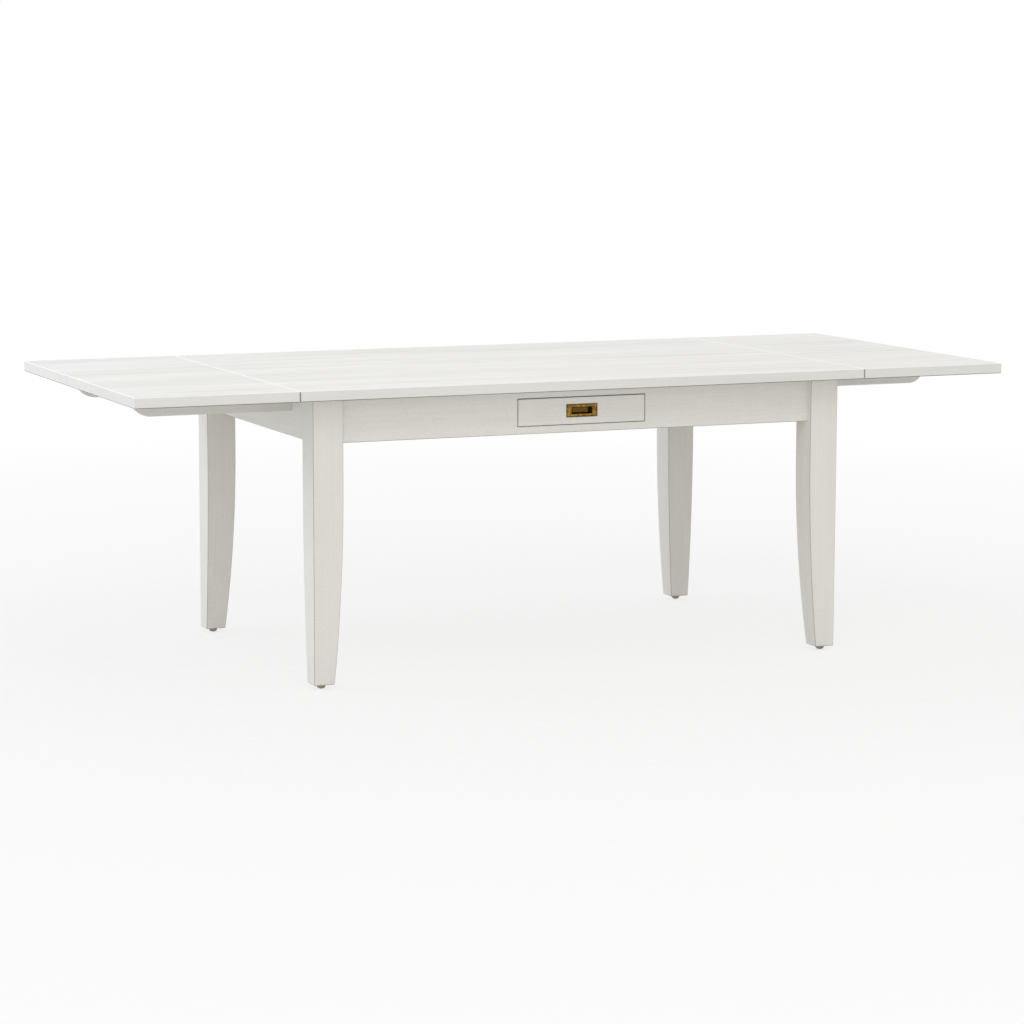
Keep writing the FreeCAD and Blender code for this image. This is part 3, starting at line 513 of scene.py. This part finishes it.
def to_corner(point):
    """The level way from the middle of the table out to a point's corner, at 45 degrees."""
    return Vector((math.copysign(1, point.x), math.copysign(1, point.y), 0)).normalized()


def corners(points):
    """The lowest and the highest corner of the box round some points."""
    return [Vector(end(p[i] for p in points) for i in range(3)) for end in (min, max)]


def middle(points):
    """The middle of the box round some points."""
    low, high = corners(points)
    return (low + high) / 2


def run(points, way):
    """The two ends of a straight solid on its own middle line."""
    heart = middle(points)
    marks = [(point - heart).dot(way) for point in points]
    return heart + way * min(marks), heart + way * max(marks)


def radius_at(points, end, way):
    """How wide a solid is at one of its ends."""
    near = [p - end for p in points if abs((p - end).dot(way)) < WELD]
    return max((p - way * p.dot(way)).length for p in near)


def head_to_tip(points):
    """The head and the tip of a screw that runs along X, Y or Z."""
    low, high = corners(points)
    spans = list(high - low)
    way = Vector([float(i == spans.index(max(spans))) for i in range(3)])
    start, end = run(points, way)
    if radius_at(points, start, way) < radius_at(points, end, way):
        start, end = end, start
    return start, end


def standing_at(point, way):
    """A shape's local Z turned to a way, and its origin put at a point."""
    return Matrix.Translation(point) @ way.to_track_quat("Z", "Y").to_matrix().to_4x4()


# Making shapes

def spun(profile, steps, rounding=0.0):
    """A profile of radius and height turned about Z, its corners rounded first."""
    shape = bmesh.new()
    verts = [shape.verts.new((radius, 0, height)) for radius, height in profile]
    for pair in zip(verts, verts[1:]):
        shape.edges.new(pair)
    if rounding:
        bmesh.ops.bevel(shape, geom=verts[1:-1], offset=rounding, offset_type="OFFSET", affect="VERTICES",
                        segments=3, profile=0.5, material=-1)
    bmesh.ops.spin(shape, geom=shape.verts[:] + shape.edges[:], axis=UP, cent=(0, 0, 0), angle=math.tau,
                   steps=steps, use_merge=True)
    bmesh.ops.remove_doubles(shape, verts=shape.verts, dist=WELD)
    bmesh.ops.recalc_face_normals(shape, faces=shape.faces)
    return shape


def ring(shape, radius, height, outline=None):
    """A closed loop of edges at a height, shaped by an outline where there is one."""
    made = bmesh.ops.create_circle(shape, segments=ROUND_POINTS, radius=radius)["verts"]
    for vert in made:
        if outline:
            vert.co = outline(math.atan2(vert.co.y, vert.co.x)) * radius
        vert.co.z = height(vert.co) if callable(height) else height
    return [edge for edge in shape.edges if edge.verts[0] in made and edge.verts[1] in made]


def threaded(radius, depth, pitch, reach, steps=16):
    """A helical thread about Z from 0 up to a reach, closed at both ends and turned down at the upper one."""
    shape = bmesh.new()
    root = radius - depth
    # It starts over a turn early, so that none of its corners lies in the plane of a cut
    early = pitch * 1.3
    turns = math.ceil((reach + early) / pitch) + 1
    verts = [shape.verts.new((root + depth * out, 0, pitch * up - early)) for out, up in TOOTH_SHARES]
    for pair in zip(verts, verts[1:]):
        shape.edges.new(pair)
    bmesh.ops.spin(shape, geom=shape.verts[:] + shape.edges[:], axis=UP, cent=(0, 0, 0),
                   dvec=(0, 0, pitch / steps), angle=math.tau * turns, steps=steps * turns)
    bmesh.ops.remove_doubles(shape, verts=shape.verts, dist=WELD)
    for height, way in ((0, -UP), (reach, UP)):
        bmesh.ops.bisect_plane(shape, geom=shape.verts[:] + shape.edges[:] + shape.faces[:], dist=HAIR,
                               plane_co=(0, 0, height), plane_no=way, clear_outer=True)
    bmesh.ops.edgeloop_fill(shape, edges=[edge for edge in shape.edges if edge.is_boundary])
    taper_start = reach - depth * 1.2
    for vert in shape.verts:
        flat = Vector((vert.co.x, vert.co.y))
        most = radius - max(0.0, vert.co.z - taper_start)
        if flat.length > most:
            vert.co.x, vert.co.y = flat * (most / flat.length)
    bmesh.ops.dissolve_degenerate(shape, edges=shape.edges, dist=HAIR)
    bmesh.ops.recalc_face_normals(shape, faces=shape.faces)
    return shape


def cross_outline(reach, arm):
    """The outline of a plus sign: arm ends, their corners, the arms' sides and the inner corners."""
    side = (reach + arm) / 2
    quarter = [(reach, 0), (reach, arm), (side, arm), (arm, arm), (arm, side), (arm, reach)]

    def outline(angle):
        turn, step = divmod(round(angle / math.tau * ROUND_POINTS) % ROUND_POINTS, len(quarter))
        return Matrix.Rotation(turn * math.tau / 4, 3, "Z") @ Vector((*quarter[step], 0))
    return outline


def cross_head(shape, radius, settings):
    """Close the top of a screw head, at Z 0, with a cross recess that narrows to its floor."""
    star = cross_outline(settings.recess_reach, settings.recess_arm)
    floor_radius, floor_depth = radius * 0.45, radius * 0.55
    rim = ring(shape, radius, 0)
    mouth = ring(shape, radius, 0, star)
    bmesh.ops.bridge_loops(shape, edges=rim + mouth)
    recess_floor = ring(shape, floor_radius, -floor_depth, star)
    bmesh.ops.bridge_loops(shape, edges=mouth + recess_floor)
    bmesh.ops.edgeloop_fill(shape, edges=recess_floor)


def wood_screw(head_radius, head_height, shank_radius, reach, settings):
    """A cross-headed screw, its head's rim at Z 0 and its tip below."""
    rim_height = 0.25 * MM
    point = shank_radius * 2
    profile = [(head_radius, 0), (head_radius, -rim_height), (shank_radius, -head_height),
               (shank_radius, point - reach), (0, -reach)]
    shape = spun(profile, ROUND_POINTS)
    cross_head(shape, head_radius, settings)
    bmesh.ops.remove_doubles(shape, verts=shape.verts, dist=WELD)
    bmesh.ops.recalc_face_normals(shape, faces=shape.faces)
    return shape


def hex_outline(angle):
    """The point at an angle on a hexagon that is 2 across its flats."""
    part = math.pi / 3
    away = (angle + part / 2) % part - part / 2
    return Vector((math.cos(angle), math.sin(angle), 0)) / math.cos(away)


def hex_nut(across_flats, thickness, bore):
    """A hexagon nut with both faces turned down at the corners, from Z 0 up."""
    shape = bmesh.new()
    flat = across_flats / 2
    face = flat * 0.95
    slope = 0.55

    def lower(point):
        return max(0.0, (point.xy.length - face) * slope)

    def upper(point):
        return thickness - lower(point)
    # The loops go round from the lower face, because a bore bridged last comes out twisted
    loops = [
        ring(shape, face, 0),
        ring(shape, flat, lower, hex_outline),
        ring(shape, flat, upper, hex_outline),
        ring(shape, face, thickness),
        ring(shape, bore, thickness),
        ring(shape, bore, 0),
    ]
    for first, second in zip(loops, loops[1:] + loops[:1]):
        bmesh.ops.bridge_loops(shape, edges=first + second)
    bmesh.ops.recalc_face_normals(shape, faces=shape.faces)
    return shape


def add_to(whole, shape, place):
    """Move a shape to its place and add it to a whole."""
    bmesh.ops.transform(shape, matrix=place, verts=shape.verts)
    moved = bpy.data.meshes.new("moved")
    shape.to_mesh(moved)
    shape.free()
    whole.from_mesh(moved)
    bpy.data.meshes.remove(moved)


def put(name, shape, material, slot, body, *nodes):
    """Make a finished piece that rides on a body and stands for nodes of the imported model."""
    mesh = bpy.data.meshes.new(name)
    shape.to_mesh(mesh)
    shape.free()
    mesh.shade_smooth()
    mesh.set_sharp_from_angle(angle=SHARP_EDGE)
    mesh.materials.append(material)
    piece = bpy.data.objects.new(name, mesh)
    bpy.context.scene.collection.objects.link(piece)
    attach(piece, body)
    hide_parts(*nodes)


# Operators, one for each piece or group of like pieces

class TABLE_OT_paint_top(bpy.types.Operator):
    """Brush satin white paint on the centre top and the two leaves"""
    bl_idname = "table.paint_top"
    bl_label = "Paint the top"

    def execute(self, context):
        paint = context.scene.table_paint
        seam = (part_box("centre_top")[1].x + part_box("leaf_right")[0].x) / 2
        # Painted highlight on the top's upper edges and at its seams, and painted shade on its lower edges
        material = brushed_paint("satin_paint_on_top", paint.top, paint.top_low, "x", paint, TOP_PATTERNS,
                                 edges=(paint.edge_highlight, paint.edge_side, paint.edge_under_shade),
                                 joints=BOARD_JOINTS, seams=((-seam, SEAM_STRENGTH), (seam, SEAM_STRENGTH)))
        finish_nodes(material, "centre_top", "leaf_left", "leaf_right")
        return {"FINISHED"}


class TABLE_OT_paint_frame(bpy.types.Operator):
    """Brush satin white paint on the legs, aprons and drawer front"""
    bl_idname = "table.paint_frame"
    bl_label = "Paint the frame"

    def execute(self, context):
        paint = context.scene.table_paint
        # On the frame, painted shade on the rounded edges that look down
        frame_edges = (paint.frame, paint.edge_side, paint.frame_edge_under_shade)
        # On the drawer front, painted shade on the upper edge, in the gap above it
        front_edges = (paint.edge_gap_shade, paint.edge_side, paint.frame)
        for name, grain, edges, nodes in (
                ("satin_paint_along_x", "x", frame_edges, ["front_apron", "back_apron"]),
                ("satin_paint_along_y", "y", frame_edges, ["left_end_apron", "right_end_apron"]),
                ("satin_paint_along_z", "z", frame_edges, [f"leg_{quarter}" for quarter in QUARTERS]),
                ("satin_paint_on_drawer_front", "x", front_edges, ["drawer_front"])):
            material = brushed_paint(name, paint.frame, paint.frame_low, grain, paint, FRAME_PATTERNS, edges)
            finish_nodes(material, *nodes)
        return {"FINISHED"}


class TABLE_OT_paint_lopers(bpy.types.Operator):
    """Paint the lopers, rubbed where they slide"""
    bl_idname = "table.paint_lopers"
    bl_label = "Paint the lopers"

    def execute(self, context):
        paint = context.scene.table_paint
        material = brushed_paint("satin_paint_rubbed", paint.loper, paint.loper_low, "x", paint,
                                 LOPER_PATTERNS)
        finish_nodes(material, *[f"loper_{quarter}" for quarter in QUARTERS])
        return {"FINISHED"}


class TABLE_OT_finish_inside(bpy.types.Operator):
    """Give the unpainted boards inside the table their sealed wood"""
    bl_idname = "table.finish_inside"
    bl_label = "Finish the inside"

    def execute(self, context):
        wood = context.scene.table_wood
        finish_nodes(softwood("softwood_sealed_along_x", "x", wood), "drawer_inner_front", "drawer_back")
        finish_nodes(softwood("softwood_sealed_along_y", "y", wood), "bearer_left", "bearer_right",
                     "top_buttons", "drawer_side_left", "drawer_side_right", "drawer_runner_left",
                     "drawer_runner_right", "drawer_kicker_left", "drawer_kicker_right", "drawer_stops")
        finish_nodes(softwood("softwood_sealed_falling", "falling", wood),
                     "corner_block_front_left", "corner_block_back_right")
        finish_nodes(softwood("softwood_sealed_rising", "rising", wood),
                     "corner_block_front_right", "corner_block_back_left")
        finish_nodes(birch_plywood(wood), "drawer_bottom")
        return {"FINISHED"}


class TABLE_OT_turn_dowels(bpy.types.Operator):
    """Turn the leaf dowels and the stop pegs in beech"""
    bl_idname = "table.turn_dowels"
    bl_label = "Turn the dowels"

    def execute(self, context):
        wood = context.scene.table_wood
        for side in SIDES:
            node = f"leaf_{side}_dowels"
            whole = bmesh.new()
            for points in solids(node):
                add_to(whole, *self.dowel(points, Vector((1, 0, 0))))
            put(f"turned_leaf_dowels_{side}", whole, turned_beech(f"beech_dowels_{side}", "x", wood),
                "dowel_wood", f"leaf_{side}", node)
        for quarter in QUARTERS:
            node = f"stop_peg_{quarter}"
            whole = bmesh.new()
            add_to(whole, *self.dowel(solids(node)[0], Vector((0, 1, 0))))
            put(f"turned_stop_peg_{quarter}", whole, turned_beech(f"beech_peg_{quarter}", "y", wood),
                "dowel_wood", f"loper_{quarter}", node)
        return {"FINISHED"}

    def dowel(self, points, way):
        """A round rod with a turned nose at both ends, and its place."""
        start, end = run(points, way)
        reach = (end - start).length
        radius = max((p - start - way * (p - start).dot(way)).length for p in points)
        nose = radius * 0.3
        rounding = nose * 0.4
        profile = [(0, 0), (radius - nose, 0), (radius, nose), (radius, reach - nose),
                   (radius - nose, reach), (0, reach)]
        return spun(profile, 32, rounding), standing_at(start, way)


class TABLE_OT_plate_pull(bpy.types.Operator):
    """Give the drawer pull its antiqued brass"""
    bl_idname = "table.plate_pull"
    bl_label = "Finish the pull"

    def execute(self, context):
        finish_nodes(antiqued_brass(context.scene.table_metal), "drawer_pull")
        return {"FINISHED"}


class TABLE_OT_make_glides(bpy.types.Operator):
    """Press the four domed glides under the legs"""
    bl_idname = "table.make_glides"
    bl_label = "Make the glides"

    def execute(self, context):
        metal = context.scene.table_metal
        nickel = plated_metal("dull_nickel_plating", metal.nickel, metal.nickel_worn,
                              patch=6 * MM, smooth=0.3, rough=0.45)
        foot_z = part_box("leg_front_left")[0].z
        whole = bmesh.new()
        for points in solids("glides"):
            base = Vector((middle(points).x, middle(points).y, 0))
            rim = max((p.xy - base.xy).length for p in points)
            nail_top = max(p.z for p in points)
            add_to(whole, self.glide(rim, foot_z, nail_top), Matrix.Translation(base))
        put("domed_glides", whole, nickel, "glide_steel", "frame", "glides")
        return {"FINISHED"}

    def glide(self, rim, foot_z, nail_top):
        """A dome that stands on Z 0, rolled in at the foot of the leg, and its nail."""
        dome_z = 1.6 * MM
        shoulder_z = 4.6 * MM
        roll = 0.8 * MM
        nail_radius = 2 * MM
        point = 4 * MM
        profile = [(0, 0), (rim * 0.45, 0), (rim * 0.8, dome_z), (rim, shoulder_z),
                   (rim, foot_z - roll), (rim - roll, foot_z),
                   (nail_radius, foot_z), (nail_radius, nail_top - point), (0, nail_top)]
        return spun(profile, 40, rounding=0.35 * MM)


class TABLE_OT_bolt_corners(bpy.types.Operator):
    """Thread the hanger bolts and put on their washers and nuts"""
    bl_idname = "table.bolt_corners"
    bl_label = "Bolt the corners"

    def execute(self, context):
        sizes = context.scene.table_fasteners
        metal = context.scene.table_metal
        zinc = plated_metal("bright_zinc_plating", metal.zinc, metal.zinc_dull,
                            patch=5 * MM, smooth=0.24, rough=0.4)
        bolts, washers, nuts = bmesh.new(), bmesh.new(), bmesh.new()
        for start, way, reach in self.places("hanger_bolts"):
            leg_face = start + way * sizes.lag_reach
            fine = threaded(sizes.bolt_radius, sizes.thread_depth, sizes.thread_pitch,
                            reach - sizes.lag_reach)
            coarse = threaded(sizes.bolt_radius, sizes.lag_depth, sizes.lag_pitch, sizes.lag_reach, steps=12)
            add_to(bolts, fine, standing_at(leg_face, way))
            add_to(bolts, coarse, standing_at(leg_face, -way))
        for start, way, thick in self.places("bolt_washers"):
            profile = [(sizes.washer_bore, 0), (sizes.washer_rim, 0), (sizes.washer_rim, thick),
                       (sizes.washer_bore, thick)]
            washer = spun(profile + profile[:1], 40, rounding=0.2 * MM)
            add_to(washers, washer, standing_at(start, way))
        for start, way, thick in self.places("bolt_nuts"):
            add_to(nuts, hex_nut(sizes.nut_width, thick, sizes.nut_bore), standing_at(start, way))
        put("threaded_hanger_bolts", bolts, zinc, "zinc_steel", "frame", "hanger_bolts")
        put("round_washers", washers, zinc, "zinc_steel", "frame", "bolt_washers")
        put("hexagon_nuts", nuts, zinc, "zinc_steel", "frame", "bolt_nuts")
        return {"FINISHED"}

    def places(self, node):
        """Where each solid of a node starts, its way to the middle of the table, and its length."""
        for points in solids(node):
            way = -to_corner(points[0])
            start, end = run(points, way)
            yield start, way, (end - start).length


class TABLE_OT_drive_screws(bpy.types.Operator):
    """Drive the cross-headed screws of the blocks, buttons, runners and drawer"""
    bl_idname = "table.drive_screws"
    bl_label = "Drive the screws"

    def execute(self, context):
        sizes = context.scene.table_fasteners
        metal = context.scene.table_metal
        zinc = plated_metal("zinc_plated_screws", metal.zinc, metal.zinc_dull,
                            patch=4 * MM, smooth=0.26, rough=0.42)
        for name, node, body, head_height, shank_radius in (
                ("countersunk_block_screws", "corner_block_screws", "frame", 3 * MM, 2.25 * MM),
                ("countersunk_button_screws", "top_button_screws", "frame", 2.5 * MM, 2 * MM),
                ("countersunk_runner_screws", "runner_screws", "frame", 3 * MM, 2.25 * MM),
                ("countersunk_front_screws", "drawer_front_screws", "drawer", 2.2 * MM, 2 * MM),
                ("countersunk_pull_screws", "pull_screws", "drawer", 2.4 * MM, 2 * MM)):
            whole = bmesh.new()
            for points in solids(node):
                head, tip = head_to_tip(points)
                way = (head - tip).normalized()
                radius = radius_at(points, head, way)
                screw = wood_screw(radius, head_height, shank_radius, (head - tip).length, sizes)
                add_to(whole, screw, standing_at(head, way))
            put(name, whole, zinc, "zinc_steel", body, node)
        return {"FINISHED"}


class TABLE_OT_build_stage(bpy.types.Operator):
    """Lay the pale floor, light the studio and set the camera"""
    bl_idname = "table.build_stage"
    bl_label = "Build the stage"

    def execute(self, context):
        stage = context.scene.table_stage
        self.lay_floor(context, stage)
        self.light(context, stage)
        self.set_camera(context, stage)
        return {"FINISHED"}

    def seen(self, tree):
        """1 where a ray comes from the camera, a reflection or through glass, and 0 for light itself."""
        rays = [add_node(tree, "LightPath", output=f"Is {kind} Ray")
                for kind in ("Camera", "Glossy", "Transmission")]
        either = add_node(tree, "Math", rays[:2], operation="MAXIMUM")
        return add_node(tree, "Math", (either, rays[2]), operation="MAXIMUM")

    def lay_floor(self, context, stage):
        """A wide floor that keeps the shadow near the table and runs out to plain white."""
        shape = bmesh.new()
        bmesh.ops.create_circle(shape, cap_ends=True, segments=96, radius=FLOOR_RADIUS)
        mesh = bpy.data.meshes.new("studio_floor")
        shape.to_mesh(mesh)
        shape.free()
        floor = bpy.data.objects.new("studio_floor", mesh)
        context.scene.collection.objects.link(floor)
        material, tree, shader = surface("studio_floor_vinyl")
        here = add_node(tree, "TexCoord", output="Object")
        grain = add_node(tree, "TexNoise", {"Vector": here, "Scale": FLOOR_SPECKS})
        connect(tree, shader, colour=tinted(tree, grain, 0.3, 0.7, stage.floor, stage.floor_pale),
                roughness=add_node(tree, "MapRange", (grain, 0.3, 0.7, 0.85, 0.95)))
        shader.inputs["Specular IOR Level"].default_value = 0.1
        away = add_node(tree, "VectorMath", (here,), "Value", operation="LENGTH")
        far = add_node(tree, "MapRange", (away, WHITE_STARTS, WHITE_ENDS, stage.floor_white, 1.0))
        share_white = add_node(tree, "Math", (self.seen(tree), far), operation="MULTIPLY")
        white = add_node(tree, "Emission", {"Color": WHITE, "Strength": 1.0})
        shown = add_node(tree, "MixShader", (share_white, shader.outputs[0], white))
        tree.links.new(shown, tree.nodes["Material Output"].inputs["Surface"])
        mesh.materials.append(material)

    def light(self, context, stage):
        """An even pale sky, and soft lamps off the left end, high in front and low by the camera."""
        world = bpy.data.worlds.new("studio_sky")
        context.scene.world = world
        world.use_nodes = True
        tree = world.node_tree
        background = tree.nodes["Background"]
        background.inputs["Color"].default_value = WHITE
        strength = add_node(tree, "MapRange", (self.seen(tree), 0.0, 1.0, stage.sky, 1.0))
        tree.links.new(strength, background.inputs["Strength"])
        for name, (size, place) in LAMPS.items():
            data = bpy.data.lights.new(name, "AREA")
            data.energy = getattr(stage, name)
            data.color = getattr(stage, f"{name}_colour")[:3]
            data.shape = "DISK"
            data.size = size
            lamp = bpy.data.objects.new(name, data)
            context.scene.collection.objects.link(lamp)
            lamp.location = place
            lamp.rotation_euler = (Vector(place) - Vector(LAMP_AIM)).to_track_quat("Z", "Y").to_euler()

    def set_camera(self, context, stage):
        """The camera where it stood for the photograph, and colours shown as they are."""
        data = bpy.data.cameras.new("camera")
        data.sensor_width = SENSOR_MM
        data.lens = stage.focal_pixels * SENSOR_MM / PHOTO_PIXELS
        data.clip_end = FLOOR_RADIUS * 3
        camera = bpy.data.objects.new("camera", data)
        context.scene.collection.objects.link(camera)
        turn = (Matrix.Rotation(stage.yaw, 4, "Z") @ Matrix.Rotation(math.radians(90) - stage.pitch, 4, "X")
                @ Matrix.Rotation(stage.roll, 4, "Z"))
        camera.matrix_world = Matrix.Translation(stage.position) @ turn
        context.scene.camera = camera
        context.scene.view_settings.view_transform = "Standard"


OPERATORS = (TABLE_OT_paint_top, TABLE_OT_paint_frame, TABLE_OT_paint_lopers, TABLE_OT_finish_inside,
             TABLE_OT_turn_dowels, TABLE_OT_plate_pull, TABLE_OT_make_glides, TABLE_OT_bolt_corners,
             TABLE_OT_drive_screws, TABLE_OT_build_stage)
SETTINGS = {"table_paint": PaintSettings, "table_wood": WoodSettings, "table_metal": MetalSettings,
            "table_fasteners": FastenerSettings, "table_stage": StageSettings}


class TABLE_PT_steps(bpy.types.Panel):
    """The steps that finish the table, and their settings"""
    bl_idname = "TABLE_PT_steps"
    bl_label = "Extending dining table"
    bl_space_type = "VIEW_3D"
    bl_region_type = "UI"
    bl_category = "Table"

    def draw(self, context):
        for operator in OPERATORS:
            self.layout.operator(operator.bl_idname)
        for name, settings in SETTINGS.items():
            box = self.layout.box()
            for key in settings.__annotations__:
                box.prop(getattr(context.scene, name), key)


def register():
    for kind in (*SETTINGS.values(), *OPERATORS, TABLE_PT_steps):
        bpy.utils.register_class(kind)
    for name, settings in SETTINGS.items():
        setattr(bpy.types.Scene, name, bpy.props.PointerProperty(type=settings))


def unregister():
    for name in SETTINGS:
        delattr(bpy.types.Scene, name)
    for kind in (TABLE_PT_steps, *reversed(OPERATORS), *SETTINGS.values()):
        bpy.utils.unregister_class(kind)


def main():
    register()
    for operator in OPERATORS:
        step = operator.bl_idname.split(".")[1]
        getattr(bpy.ops.table, step)()


if __name__ == "__main__":
    main()
